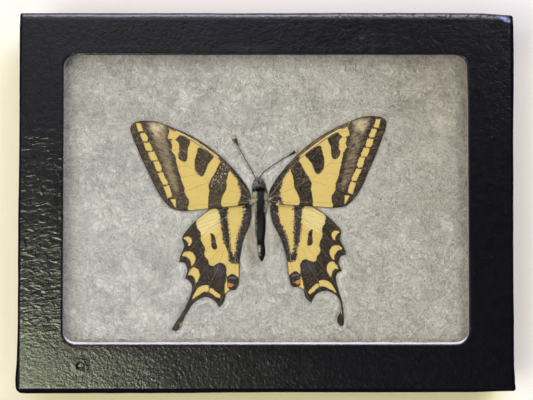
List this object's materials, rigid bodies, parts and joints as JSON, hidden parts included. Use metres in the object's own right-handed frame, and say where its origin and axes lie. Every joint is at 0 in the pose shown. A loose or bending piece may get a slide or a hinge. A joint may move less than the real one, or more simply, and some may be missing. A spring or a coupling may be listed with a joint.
{
  "type": "framed butterfly specimen",
  "caption": "Spread swallowtail butterfly on white fibre batting in a shallow black card display box with a round-cornered glass window.",
  "frame": {"origin": "middle of the box's flat back", "axes": "+X along the box's length, +Y from the butterfly's abdomen to its head, +Z out through the glass"},
  "size_m": [0.13, 0.1, 0.02],
  "materials": {
    "black_paper": "embossed, satin",
    "window_glass": "clear, polished",
    "batting": "loose white fibre",
    "body_hair": "hairy, matte",
    "wing_scales": "dusty scales, matte",
    "antenna": "matte horn"
  },
  "bodies": {
    "root": {"tray": "black_paper", "batting": "batting", "glass": "window_glass", "lid": "black_paper", "body": "body_hair", "forewing_left": "wing_scales", "forewing_right": "wing_scales", "hindwing_left": "wing_scales", "hindwing_right": "wing_scales", "antenna_left": "antenna", "antenna_right": "antenna"}
  },
  "joints": []
}
